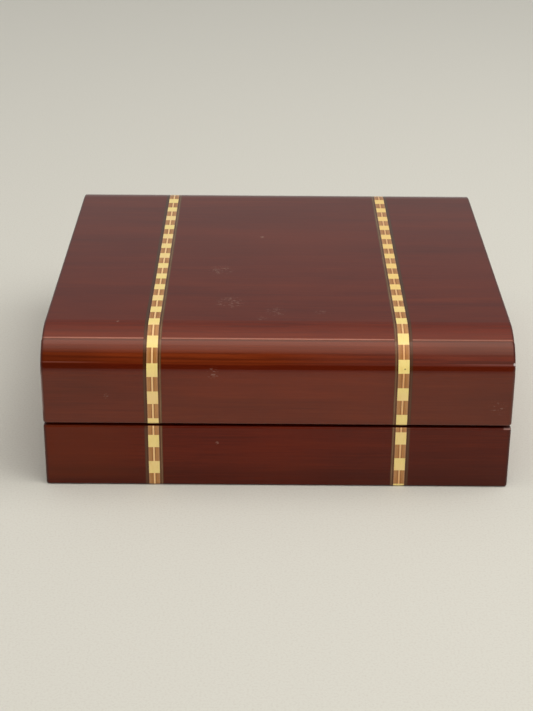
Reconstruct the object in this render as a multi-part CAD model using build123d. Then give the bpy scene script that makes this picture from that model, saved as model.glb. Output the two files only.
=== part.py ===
from build123d import *
import os
from math import cos, hypot, pi, radians, sin

os.makedirs("parts", exist_ok=True)

# A coin box with a hinged lid. Millimetres and degrees: X runs from left to right,
# Y from front to back and Z up, and the box stands on Z = 0.

# Outside of the box
box_width = 240.0
box_depth = 238.0
box_height = 83.0
parting_height = 35.0  # middle of the gap between base and lid
rim_gap = 1.2
stand_off = 0.3  # wood above what the baize stands on

# Boards and their rounded edges
rail_thickness = 10.3  # front and back boards
side_thickness = 10.0
corner_round = 1.6
lid_rim_round = 1.4
base_rim_round = 1.0
foot_round = 0.8

# Shoulder of the lid: a flat arc from the top, then a tighter one down to the face
shoulder_top_radius = 28.0
shoulder_top_turn = 38.0
shoulder_front_radius = 19.5

# Top panel, set between the lid's front and back boards
panel_thickness = 8.0
panel_end_inset = 0.3
panel_end_round = 1.0
panel_joint_round = 0.5
rail_joint_round = 0.2

# Bottom
bottom_thickness = 5.0
bottom_lip = 5.0  # width of board left outside the rebate
baize_thickness = 1.0

# Linings
floor_lining_thickness = 1.5
wall_lining_thickness = 2.0
lining_lip = 3.0  # how far the base lining stands above the rim
lip_clearance = 0.4
lining_gap = 0.3  # between the base lining and the lid lining above it
lining_round = 0.6
pad_edge_thickness = 3.0
pad_crown = 4.0  # extra thickness at the middle
pad_clearance = 0.5
pad_edge_round = 1.5

# Dividers
across_count = 4
deep_count = 4
divider_thickness = 3.0
divider_height = 21.5
divider_end_clearance = 0.2
divider_slot_clearance = 0.1
divider_round = 0.8

# Hinges, with the pin in the plane of the back
hinge_from_side = 32.0  # from the outside of a side to the middle of a hinge
hinge_length = 30.0
leaf_width = 9.0
leaf_thickness = 1.0
leaf_clearance = 0.1
knuckle_radius = 2.0
knuckle_count = 5
knuckle_gap = 0.3
pin_radius = 1.0
pin_clearance = 0.05
pin_head_radius = 1.5
pin_head_thickness = 0.6
pin_head_round = 0.35
pin_head_gap = 0.1
barrel_clearance = 0.3
lid_stop_angle = 95.0
stop_reach = 4.3  # outer radius of the stop about the pin
stop_slack = 2.5  # angle left between each stop and the line where they would meet
stop_end_angle = 80.0

# Countersunk screws of the hinge leaves
leaf_screw_count = 3
screw_radius = 0.9
screw_point_radius = 0.2
screw_head_radius = 1.7
screw_head_height = 0.8
screw_length = 8.0
screw_tip = 1.6
screw_sink = 0.05
screw_slot = 0.4
screw_fit = 0.02
screw_hole_clearance = 0.08

# Inlay bands
band_from_side = 56.5  # from the outside of a side to the middle of a band
inlay_depth = 0.8
block_width = 5.6
centre_slip_width = 0.9
inner_line_width = 0.9
grey_line_width = 0.5
outer_line_width = 0.4
block_length = 7.1  # pale block, along the band
shortest_block = 0.4
left_pitch = 15.26
right_pitch = 15.13
lid_left_start = 11.6  # from the rim to the first whole pale block
lid_right_start = 14.4
base_left_start = 5.0
base_right_start = 2.5

# Worked out from the sizes above
half_width = box_width / 2
front = -box_depth / 2
back = box_depth / 2
base_rim = parting_height - rim_gap / 2
lid_rim = parting_height + rim_gap / 2
rail_front = front + rail_thickness
rail_back = back - rail_thickness
inner_half = half_width - side_thickness
hinge_position = half_width - hinge_from_side
band_offset = half_width - band_from_side
panel_underside = box_height - panel_thickness
floor_board = baize_thickness + bottom_thickness
floor = floor_board + floor_lining_thickness
shoulder_turn = radians(shoulder_top_turn)
shoulder_depth = shoulder_top_radius * sin(shoulder_turn) + shoulder_front_radius * (1 - sin(shoulder_turn))
shoulder_drop = shoulder_top_radius * (1 - cos(shoulder_turn)) + shoulder_front_radius * cos(shoulder_turn)
band_width = block_width + 2 * (inner_line_width + grey_line_width + outer_line_width)
barrel_room = knuckle_radius + barrel_clearance
screw_inset = (barrel_room + leaf_width) / 2  # from the pin, midway over the leaf's plate
screw_spacing = hinge_length / leaf_screw_count
lip_top = base_rim + lining_lip
lid_lining_foot = lip_top + lining_gap
lining_inner_x = inner_half - wall_lining_thickness
lining_inner_y = rail_back - wall_lining_thickness

# How close two places are to count as one, and how much of the room for a round is used
tolerance = 1e-3
round_share = 0.9


def block(x0, x1, y0, y1, z0, z1):
    """A box between two corners."""
    corner = (Align.MIN, Align.MIN, Align.MIN)
    return Pos(x0, y0, z0) * Box(x1 - x0, y1 - y0, z1 - z0, align=corner)


def rod(radius, x0, x1, y, z):
    """A round rod along X."""
    return Pos((x0 + x1) / 2, y, z) * Rot(0, 90, 0) * Cylinder(radius, x1 - x0)


def mirrored(shape):
    """The same shape on the other side of the middle of the box."""
    return mirror(shape, about=Plane.YZ)


def edges_at(solid, test):
    """The edges whose middle point passes the test."""
    return [edge for edge in solid.edges() if test(edge.position_at(0.5))]


def near(value, target):
    return abs(value - target) < tolerance


def in_section(y, z):
    return Vector(0, y, z)


def limited(radius, room):
    """The wanted radius of a round, or less where there isn't room for it."""
    return min(radius, round_share * room)


# Outlines in the YZ section. An outline is a list of spans that follow each other, each
# with its length, and each gives its edge between two distances, moved inwards by a depth.


class StraightSpan:
    def __init__(self, start, end, outward):
        self.start = start
        self.along = (end[0] - start[0], end[1] - start[1])
        self.length = hypot(*self.along)
        self.outward = outward

    def point(self, distance, depth):
        share = distance / self.length
        y = self.start[0] + self.along[0] * share - self.outward[0] * depth
        z = self.start[1] + self.along[1] * share - self.outward[1] * depth
        return in_section(y, z)

    def edge(self, low, high, depth):
        return Edge.make_line(self.point(low, depth), self.point(high, depth))


class ArcSpan:
    def __init__(self, centre, radius, first_angle, last_angle):
        self.centre = centre
        self.radius = radius
        self.first_angle = radians(first_angle)
        self.turn = radians(last_angle - first_angle)
        self.length = radius * abs(self.turn)

    def point(self, distance, depth):
        angle = self.first_angle + self.turn * distance / self.length
        reach = self.radius - depth
        return in_section(self.centre[0] + reach * cos(angle), self.centre[1] + reach * sin(angle))

    def edge(self, low, high, depth):
        places = (low, (low + high) / 2, high)
        return Edge.make_three_point_arc(*[self.point(place, depth) for place in places])


def lid_outline():
    """From the front rim up over the shoulder, across the top and down to the back rim."""
    spring = box_height - shoulder_drop
    top_turn = shoulder_top_turn
    top_centre = box_height - shoulder_top_radius
    front_flat = front + shoulder_depth
    back_flat = back - shoulder_depth
    return [
        StraightSpan((front, lid_rim), (front, spring), (-1, 0)),
        ArcSpan((front + shoulder_front_radius, spring), shoulder_front_radius, 180, 90 + top_turn),
        ArcSpan((front_flat, top_centre), shoulder_top_radius, 90 + top_turn, 90),
        StraightSpan((front_flat, box_height), (back_flat, box_height), (0, 1)),
        ArcSpan((back_flat, top_centre), shoulder_top_radius, 90, 90 - top_turn),
        ArcSpan((back - shoulder_front_radius, spring), shoulder_front_radius, 90 - top_turn, 0),
        StraightSpan((back, spring), (back, lid_rim), (1, 0)),
    ]


def base_outline(face_y, outward):
    """The outside of the base at one face, from the rim down."""
    return [StraightSpan((face_y, base_rim), (face_y, stand_off), (outward, 0))]


def outline_length(outline):
    return sum(span.length for span in outline)


def skin(outline, start, end, depth, x0, x1):
    """A strip under the outline, between two distances along it, depth thick, from x0 to x1."""
    outer = []
    inner = []
    passed = 0.0
    for span in outline:
        low = max(start - passed, 0.0)
        high = min(end - passed, span.length)
        if high - low > tolerance:
            outer.append(span.edge(low, high, 0.0))
            inner.append(span.edge(low, high, depth))
        passed += span.length
    first_end = Edge.make_line(outer[0] @ 0, inner[0] @ 0)
    last_end = Edge.make_line(outer[-1] @ 1, inner[-1] @ 1)
    section = Face(Wire([*outer, last_end, *inner, first_end]))
    return Pos(x0, 0, 0) * extrude(section, amount=x1 - x0, dir=(1, 0, 0))


def corner_cutter(y, z, inward_y, inward_z, radius):
    """What a rounded long edge takes off a sharp one, at a corner of the section."""
    margin = 1.0
    near_y, far_y = sorted((y - margin * inward_y, y + radius * inward_y))
    near_z, far_z = sorted((z - margin * inward_z, z + radius * inward_z))
    centre_y = y + radius * inward_y
    centre_z = z + radius * inward_z
    corner = block(-half_width, half_width, near_y, far_y, near_z, far_z)
    return corner - rod(radius, -half_width - margin, half_width + margin, centre_y, centre_z)


# Wood


def lid_envelope():
    """The lid as one lump, before it is parted into boards and panel."""
    edges = []
    for span in lid_outline():
        edges.append(span.edge(0.0, span.length, 0.0))
    edges.append(Edge.make_line(in_section(back, lid_rim), in_section(front, lid_rim)))
    return Pos(-half_width, 0, 0) * extrude(Face(Wire(edges)), amount=box_width, dir=(1, 0, 0))


def band_grooves(outline):
    """What both inlay bands take out of the wood."""
    length = outline_length(outline)
    grooves = []
    for middle in (-band_offset, band_offset):
        x0 = middle - band_width / 2
        grooves.append(skin(outline, 0.0, length, inlay_depth, x0, x0 + band_width))
    return grooves


def joint_line_height(solid, joint_y):
    """How high the joint face of a board or of the panel reaches."""
    middles = [edge.position_at(0.5) for edge in solid.edges()]
    return max(middle.Z for middle in middles if near(middle.Y, joint_y))


def lid_rail(envelope, low_y, high_y, joint_y):
    """A board of the lid, with its shoulder, rounded ends, rounded rim and eased joint."""
    rail = envelope & block(-half_width, half_width, low_y, high_y, lid_rim, box_height)
    end_edges = edges_at(
        rail,
        lambda p: near(abs(p.X), half_width) and not near(p.Y, joint_y) and not near(p.Z, lid_rim),
    )
    rail = fillet(end_edges, corner_round)
    rim_edges = edges_at(rail, lambda p: near(p.Z, lid_rim) and not near(p.Y, joint_y))
    rail = fillet(rim_edges, limited(lid_rim_round, corner_round))
    top_z = joint_line_height(rail, joint_y)
    joint_edges = edges_at(rail, lambda p: near(p.Y, joint_y) and near(p.Z, top_z))
    return fillet(joint_edges, rail_joint_round)


def base_rail(low_y, high_y, joint_y):
    """A board of the base, with rounded corners, rim and foot."""
    rail = block(-half_width, half_width, low_y, high_y, stand_off, base_rim)
    upright = edges_at(
        rail,
        lambda p: near(abs(p.X), half_width)
        and near(p.Z, (stand_off + base_rim) / 2)
        and not near(p.Y, joint_y),
    )
    rail = fillet(upright, corner_round)
    rim_edges = edges_at(rail, lambda p: near(p.Z, base_rim) and not near(p.Y, joint_y))
    rail = fillet(rim_edges, limited(base_rim_round, corner_round))
    foot_edges = edges_at(rail, lambda p: near(p.Z, stand_off) and not near(p.Y, joint_y))
    return fillet(foot_edges, limited(foot_round, corner_round))


def bottom_plan(z0, z1):
    """A sheet of the size of the rebate under the boards."""
    reach_x = half_width - bottom_lip
    return block(-reach_x, reach_x, front + bottom_lip, back - bottom_lip, z0, z1)


def base_side():
    """The right side of the base."""
    side = block(inner_half, half_width, rail_front, rail_back, stand_off, base_rim)
    rim_edge = edges_at(side, lambda p: near(p.X, half_width) and near(p.Z, base_rim))
    side = fillet(rim_edge, base_rim_round)
    foot_edge = edges_at(side, lambda p: near(p.X, half_width) and near(p.Z, stand_off))
    side = fillet(foot_edge, foot_round)
    return side - bottom_plan(stand_off, floor_board)


def lid_side():
    """The right side of the lid, under the top panel."""
    side = block(inner_half, half_width, rail_front, rail_back, lid_rim, panel_underside)
    rim_edge = edges_at(side, lambda p: near(p.X, half_width) and near(p.Z, lid_rim))
    return fillet(rim_edge, lid_rim_round)


def top_panel(envelope):
    """The panel between the boards, with rounded ends and eased joints."""
    reach_x = half_width - panel_end_inset
    panel = envelope & block(-reach_x, reach_x, rail_front, rail_back, panel_underside, box_height)
    end_edges = edges_at(
        panel,
        lambda p: near(abs(p.X), reach_x)
        and not near(abs(p.Y), abs(rail_front))
        and not near(p.Z, panel_underside),
    )
    panel = fillet(end_edges, panel_end_round)
    joint_z = joint_line_height(panel, rail_front)
    joint_edges = edges_at(panel, lambda p: near(abs(p.Y), abs(rail_front)) and near(p.Z, joint_z))
    return fillet(joint_edges, panel_joint_round)


# Inlay


def courses(outline, start, pitch):
    """Pale courses and striped courses as pairs of distances along the outline, from its rim."""
    length = outline_length(outline)
    edges = []
    place = start % pitch - pitch
    while place < length + pitch:
        edges.append((place, True))
        edges.append((place + block_length, False))
        place += pitch
    pale = []
    striped = []
    for (low, is_pale), (high, _) in zip(edges, edges[1:]):
        if low < shortest_block:
            low = 0.0
        if high > length - shortest_block:
            high = length
        if high - low > tolerance and low < length and high > shortest_block:
            (pale if is_pale else striped).append((low, high))
    return pale, striped


def band(outline, cutters, middle, start, pitch):
    """The pieces of one band on one outline, as lists of solids by kind."""
    length = outline_length(outline)
    pale, striped = courses(outline, start, pitch)
    half_block = block_width / 2
    half_slip = centre_slip_width / 2
    line_edge = half_block + inner_line_width
    grey_edge = line_edge + grey_line_width

    def strips(spans, low_x, high_x):
        """Pieces over the given stretches of the band, trimmed where the wood's edge is rounded."""
        solids = []
        for low, high in spans:
            piece = skin(outline, low, high, inlay_depth, middle + low_x, middle + high_x)
            for cutter in cutters:
                piece = piece - cutter
            solids += piece.solids()
        return solids

    def both_sides(spans, low_x, high_x):
        return strips(spans, -high_x, -low_x) + strips(spans, low_x, high_x)

    whole = [(0.0, length)]
    inner_lines = both_sides(whole, half_block, line_edge)
    outer_lines = both_sides(whole, grey_edge, band_width / 2)
    return {
        "pale_blocks": strips(pale, -half_block, half_block),
        "brown_slips": both_sides(striped, half_slip, half_block),
        "centre_slips": strips(striped, -half_slip, half_slip),
        "dark_lines": inner_lines + outer_lines,
        "grey_lines": both_sides(whole, line_edge, grey_edge),
    }


def rim_round_cutters(z, inward_z, radius):
    return [corner_cutter(front, z, 1, inward_z, radius), corner_cutter(back, z, -1, inward_z, radius)]


# Linings and dividers


def soft_strip(solid, test, radius):
    """A lining strip with the edges that pass the test rounded over."""
    return fillet(edges_at(solid, test), limited(radius, (wall_lining_thickness - lip_clearance) / 2))


def base_lining_front():
    """The front lining of the base. Above the rim its outer face stands back, to clear the lid."""
    lower = block(-inner_half, inner_half, rail_front, -lining_inner_y, floor, base_rim)
    lip_x = inner_half - lip_clearance
    lip = block(-lip_x, lip_x, rail_front + lip_clearance, -lining_inner_y, base_rim, lip_top)
    return soft_strip(lower + lip, lambda p: near(p.Z, lip_top) and abs(p.X) < tolerance, lining_round)


def base_lining_side():
    """The right lining of the base, between the front and back linings."""
    reach_y = lining_inner_y
    lower = block(lining_inner_x, inner_half, -reach_y, reach_y, floor, base_rim)
    lip = block(lining_inner_x, inner_half - lip_clearance, -reach_y, reach_y, base_rim, lip_top)
    return soft_strip(lower + lip, lambda p: near(p.Z, lip_top) and abs(p.Y) < tolerance, lining_round)


def lid_lining_front():
    """The front lining of the lid."""
    inner_y = -lining_inner_y
    strip = block(-inner_half, inner_half, rail_front, inner_y, lid_lining_foot, panel_underside)
    return soft_strip(strip, lambda p: near(p.Z, lid_lining_foot) and near(p.Y, inner_y), lining_round)


def lid_lining_side():
    """The right lining of the lid."""
    inner_x = lining_inner_x
    reach_y = lining_inner_y
    strip = block(inner_x, inner_half, -reach_y, reach_y, lid_lining_foot, panel_underside)
    return soft_strip(strip, lambda p: near(p.Z, lid_lining_foot) and near(p.X, inner_x), lining_round)


def lid_pad():
    """The padded lining under the top panel, with a crown that hangs down at the middle."""
    reach_x = lining_inner_x - pad_clearance
    reach_y = lining_inner_y - pad_clearance
    lowest = panel_underside - pad_edge_thickness - pad_crown
    half_diagonal = hypot(reach_x, reach_y)
    crown_radius = (half_diagonal**2 + pad_crown**2) / (2 * pad_crown)
    slab = block(-reach_x, reach_x, -reach_y, reach_y, lowest, panel_underside)
    pad = slab & Pos(0, 0, lowest + crown_radius) * Sphere(crown_radius)
    rim_edges = edges_at(
        pad,
        lambda p: p.Z < panel_underside - pad_edge_thickness / 2
        and (near(abs(p.X), reach_x) != near(abs(p.Y), reach_y)),
    )
    return fillet(rim_edges, limited(pad_edge_round, pad_edge_thickness))


def divider_places(inside, count):
    """The middles of the dividers that part an inside length into equal places."""
    pitch = (inside + divider_thickness) / count
    first = pitch - (inside + divider_thickness) / 2
    return [first + number * pitch for number in range(count - 1)]


def divider(length, slots, slots_from_top):
    """A divider along X, half lapped at the slots."""
    half = divider_thickness / 2
    top = floor + divider_height
    strip = block(-length / 2, length / 2, -half, half, floor, top)
    top_edges = edges_at(strip, lambda p: near(p.Z, top) and near(abs(p.Y), half))
    strip = fillet(top_edges, limited(divider_round, half))
    half_slot = half + divider_slot_clearance
    middle_z = floor + divider_height / 2
    for x in slots:
        if slots_from_top:
            slot_z = (middle_z - divider_slot_clearance, top)
        else:
            slot_z = (floor, middle_z + divider_slot_clearance)
        strip -= block(x - half_slot, x + half_slot, -divider_thickness, divider_thickness, *slot_z)
    return strip


# Hinges. Each is drawn about its own pin, at Y = 0 and Z = 0, and then put in its place.


def knuckle_spans(of_base):
    """Where the knuckles of one leaf start and end along the pin."""
    length = (hinge_length - (knuckle_count - 1) * knuckle_gap) / knuckle_count
    first = 0 if of_base else 1
    spans = []
    for number in range(first, knuckle_count, 2):
        x0 = -hinge_length / 2 + number * (length + knuckle_gap)
        spans.append((x0, x0 + length))
    return spans


def ring_sector(inner, outer, first_angle, last_angle, x0, x1):
    """Part of a ring about the pin."""
    arc = ArcSpan((0.0, 0.0), outer, first_angle, last_angle)
    return skin([arc], 0.0, arc.length, outer - inner, x0, x1)


def screw_places():
    first = -(leaf_screw_count - 1) / 2 * screw_spacing
    return [first + number * screw_spacing for number in range(leaf_screw_count)]


def screw_tool(head_grow, shank_grow):
    """A countersunk screw, or the hole for one, with the top of its head at Z = 0."""
    head = Pos(0, 0, -screw_head_height / 2) * Cone(
        screw_radius + head_grow, screw_head_radius + head_grow, screw_head_height
    )
    straight = screw_length - screw_tip
    shank = Pos(0, 0, -straight / 2) * Cylinder(screw_radius + shank_grow, straight)
    point = Cone(screw_point_radius + shank_grow, screw_radius + shank_grow, screw_tip)
    return head + shank + Pos(0, 0, -straight - screw_tip / 2) * point


def screw():
    slot = block(-screw_head_radius, screw_head_radius, -screw_slot / 2, screw_slot / 2, -screw_slot, 0)
    return screw_tool(0.0, 0.0) - slot


def base_leaf_shape(of_base):
    """A leaf as it lies in the base: plate, its own knuckles, and the stop behind them."""
    top = -rim_gap / 2
    bottom = top - leaf_thickness
    half_length = hinge_length / 2
    stop_start = -(lid_stop_angle / 2 + stop_slack)
    leaf = block(-half_length, half_length, -leaf_width, -barrel_room, bottom, top)
    leaf += ring_sector(barrel_room, stop_reach, stop_start, -stop_end_angle, -half_length, half_length)
    barrel_wall = (pin_radius + knuckle_radius) / 2
    for x0, x1 in knuckle_spans(of_base):
        leaf += block(x0, x1, -barrel_room, 0.0, bottom, top)
        leaf += rod(knuckle_radius, x0, x1, 0.0, 0.0)
        leaf += ring_sector(barrel_wall, stop_reach, stop_start, -stop_end_angle, x0, x1)
    leaf -= rod(pin_radius + pin_clearance, -hinge_length, hinge_length, 0.0, 0.0)
    hole = screw_tool(screw_hole_clearance, screw_hole_clearance)
    mouth = Cylinder(screw_head_radius + screw_hole_clearance, screw_sink)
    for x in screw_places():
        leaf -= Pos(x, -screw_inset, top - screw_sink) * hole
        leaf -= Pos(x, -screw_inset, top - screw_sink / 2) * mouth
    return leaf


def base_leaf():
    return base_leaf_shape(True)


def lid_leaf():
    """The leaf let into the lid, the same the other way up but with the knuckles between."""
    return mirror(base_leaf_shape(False), about=Plane.XY)


def hinge_pin():
    """The pin, with a low round head outside each end of the barrel."""
    reach = hinge_length / 2 + pin_head_gap
    end = reach + pin_head_thickness
    head = rod(pin_head_radius, reach, end, 0.0, 0.0)
    head = fillet(edges_at(head, lambda p: near(p.X, end)), limited(pin_head_round, pin_head_thickness))
    return rod(pin_radius, -reach, reach, 0.0, 0.0) + head + mirrored(head)


def at_hinge(shape, side):
    return Pos(side * hinge_position, back, parting_height) * shape


def hinge_cuts(of_base):
    """What a hinge takes out of a back board: the leaf's seat, room for the barrel, screw holes."""
    reach = hinge_length / 2 + leaf_clearance
    sign = -1 if of_base else 1
    low, high = sorted((0.0, sign * (rim_gap / 2 + leaf_thickness)))
    cuts = [block(-reach, reach, -leaf_width - leaf_clearance, knuckle_radius, low, high)]
    barrel_reach = hinge_length / 2 + pin_head_gap + pin_head_thickness + barrel_clearance
    cuts.append(rod(barrel_room, -barrel_reach, barrel_reach, 0.0, 0.0))
    for x in screw_places():
        hole = Pos(0, 0, -screw_sink) * screw_tool(0.0, screw_fit)
        if not of_base:
            hole = Rot(180, 0, 0) * hole
        cuts.append(Pos(x, -screw_inset, sign * rim_gap / 2) * hole)
    return cuts


def leaf_screws(of_base):
    solids = []
    sign = -1 if of_base else 1
    for side in (-1, 1):
        for x in screw_places():
            turned = screw() if of_base else Rot(180, 0, 0) * screw()
            placed = Pos(x, -screw_inset, sign * (rim_gap / 2 + screw_sink)) * turned
            solids += at_hinge(placed, side).solids()
    return solids


# The pieces, by the name that each is kept under
pieces = {}

envelope = lid_envelope()
lid_path = lid_outline()
front_path = base_outline(front, -1)
back_path = base_outline(back, 1)

lid_front_rail = lid_rail(envelope, front, rail_front, rail_front)
lid_back_rail = lid_rail(envelope, rail_back, back, rail_back)
lid_top_panel = top_panel(envelope)
for groove in band_grooves(lid_path):
    lid_front_rail -= groove
    lid_back_rail -= groove
    lid_top_panel -= groove

base_front_rail = base_rail(front, rail_front, rail_front) - bottom_plan(stand_off, floor_board)
base_back_rail = base_rail(rail_back, back, rail_back) - bottom_plan(stand_off, floor_board)
for groove in band_grooves(front_path):
    base_front_rail -= groove
for groove in band_grooves(back_path):
    base_back_rail -= groove

for side in (-1, 1):
    for cut in hinge_cuts(True):
        base_back_rail -= at_hinge(cut, side)
    for cut in hinge_cuts(False):
        lid_back_rail -= at_hinge(cut, side)

pieces["lid_front_rail"] = lid_front_rail
pieces["lid_back_rail"] = lid_back_rail
pieces["lid_top_panel"] = lid_top_panel
pieces["lid_right_side"] = lid_side()
pieces["lid_left_side"] = mirrored(lid_side())

pieces["base_front_rail"] = base_front_rail
pieces["base_back_rail"] = base_back_rail
pieces["base_right_side"] = base_side()
pieces["base_left_side"] = mirrored(base_side())
pieces["bottom_panel"] = bottom_plan(baize_thickness, floor_board)
pieces["underside_baize"] = bottom_plan(0.0, baize_thickness)

pieces["floor_lining"] = block(-inner_half, inner_half, rail_front, rail_back, floor_board, floor)
pieces["base_front_lining"] = base_lining_front()
pieces["base_back_lining"] = mirror(base_lining_front(), about=Plane.XZ)
pieces["base_right_lining"] = base_lining_side()
pieces["base_left_lining"] = mirrored(base_lining_side())
pieces["lid_front_lining"] = lid_lining_front()
pieces["lid_back_lining"] = mirror(lid_lining_front(), about=Plane.XZ)
pieces["lid_right_lining"] = lid_lining_side()
pieces["lid_left_lining"] = mirrored(lid_lining_side())
pieces["lid_pad"] = lid_pad()

inside_width = 2 * lining_inner_x
inside_depth = 2 * lining_inner_y
across_places = divider_places(inside_width, across_count)
deep_places = divider_places(inside_depth, deep_count)
for number, y in enumerate(deep_places, 1):
    long_strip = divider(inside_width - 2 * divider_end_clearance, across_places, True)
    pieces[f"long_divider_{number}"] = Pos(0, y, 0) * long_strip
for number, x in enumerate(across_places, 1):
    cross_strip = divider(inside_depth - 2 * divider_end_clearance, deep_places, False)
    pieces[f"cross_divider_{number}"] = Pos(x, 0, 0) * Rot(0, 0, 90) * cross_strip

for name, side in (("left", -1), ("right", 1)):
    pieces[f"{name}_hinge_base_leaf"] = at_hinge(base_leaf(), side)
    pieces[f"{name}_hinge_lid_leaf"] = at_hinge(lid_leaf(), side)
    pieces[f"{name}_hinge_pin"] = at_hinge(hinge_pin(), side)
pieces["base_leaf_screws"] = Compound(leaf_screws(True))
pieces["lid_leaf_screws"] = Compound(leaf_screws(False))

lid_cutters = rim_round_cutters(lid_rim, 1, limited(lid_rim_round, corner_round))
rim_cutters = rim_round_cutters(base_rim, -1, limited(base_rim_round, corner_round))
foot_cutters = rim_round_cutters(stand_off, 1, limited(foot_round, corner_round))
for name, middle, lid_start, base_start, pitch in (
    ("left", -band_offset, lid_left_start, base_left_start, left_pitch),
    ("right", band_offset, lid_right_start, base_right_start, right_pitch),
):
    for kind, solids in band(lid_path, lid_cutters, middle, lid_start, pitch).items():
        pieces[f"lid_{name}_{kind}"] = Compound(solids)
    front_band = band(front_path, rim_cutters + foot_cutters, middle, base_start, pitch)
    back_band = band(back_path, rim_cutters + foot_cutters, middle, base_start, pitch)
    for kind in front_band:
        pieces[f"base_{name}_{kind}"] = Compound(front_band[kind] + back_band[kind])

for name, shape in pieces.items():
    export_step(shape, f"parts/{name}.step")

place_width = (inside_width - (across_count - 1) * divider_thickness) / across_count
place_depth = (inside_depth - (deep_count - 1) * divider_thickness) / deep_count
print(len(pieces), "nodes; each coin place", round(place_width, 2), "x", round(place_depth, 2), "mm")
print("lid band", round(outline_length(lid_path), 1), "mm along its outline")
print("lid opens to", lid_stop_angle, "degrees, and its stops meet", 2 * stop_slack, "degrees later")
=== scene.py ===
from math import cos, exp, radians, sin

import bmesh
import bpy
from mathutils import Matrix, Vector, noise


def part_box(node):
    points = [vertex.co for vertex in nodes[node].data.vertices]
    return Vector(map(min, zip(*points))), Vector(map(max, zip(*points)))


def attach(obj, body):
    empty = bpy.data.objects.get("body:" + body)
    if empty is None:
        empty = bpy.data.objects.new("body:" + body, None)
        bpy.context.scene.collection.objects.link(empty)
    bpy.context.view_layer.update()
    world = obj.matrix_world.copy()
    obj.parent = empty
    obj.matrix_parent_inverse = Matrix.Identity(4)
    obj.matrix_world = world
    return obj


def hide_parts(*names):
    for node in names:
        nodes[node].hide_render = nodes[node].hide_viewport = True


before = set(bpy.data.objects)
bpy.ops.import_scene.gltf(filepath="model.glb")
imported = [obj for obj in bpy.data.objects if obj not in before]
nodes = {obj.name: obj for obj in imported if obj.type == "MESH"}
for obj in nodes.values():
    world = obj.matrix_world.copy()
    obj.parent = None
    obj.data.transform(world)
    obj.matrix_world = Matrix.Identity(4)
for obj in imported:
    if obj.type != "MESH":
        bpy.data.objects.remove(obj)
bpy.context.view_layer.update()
scene = bpy.context.scene
scene.view_settings.view_transform = "Standard"
print("frame loaded:", len(nodes), "pieces")


# Colours are written as they are read off a print, 0 to 255, and the shaders want linear light.
# The numbers below are those of the sRGB curve
def toLinear(level):
    share = level / 255
    return share / 12.92 if share <= 0.04045 else ((share + 0.055) / 1.055) ** 2.4


def colour(red, green, blue):
    return (toLinear(red), toLinear(green), toLinear(blue), 1.0)


def setStops(ramp, stops):
    elements = ramp.color_ramp.elements
    while len(elements) < len(stops):
        elements.new(0.5)
    for element, (position, shade) in zip(elements, stops):
        element.position = position
        element.color = shade


# One value on its way through a material. Arithmetic on it adds the Math nodes
class Value:
    def __init__(self, recipe, socket):
        self.recipe = recipe
        self.socket = socket

    def maths(self, operation, *values):
        return self.recipe.add("ShaderNodeMath", {"operation": operation}, dict(enumerate(values)))

    def __add__(self, other):
        return self.maths("ADD", self, other)

    def __radd__(self, other):
        return self.maths("ADD", other, self)

    def __sub__(self, other):
        return self.maths("SUBTRACT", self, other)

    def __rsub__(self, other):
        return self.maths("SUBTRACT", other, self)

    def __mul__(self, other):
        return self.maths("MULTIPLY", self, other)

    def __truediv__(self, other):
        return self.maths("DIVIDE", self, other)

    def power(self, other):
        return self.maths("POWER", self, other)

    def size(self):
        return self.maths("ABSOLUTE", self)

    def over(self, low, high):
        # 0 below low, 1 above high and a smooth step between
        settings = {"interpolation_type": "SMOOTHSTEP"}
        sockets = {"Value": self, "From Min": low, "From Max": high}
        return self.recipe.add("ShaderNodeMapRange", settings, sockets)

    def between(self, low, high, soft):
        # 1 from low to high, fading out over soft on both sides
        return self.over(low - soft, low) * (1 - self.over(high, high + soft))


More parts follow.
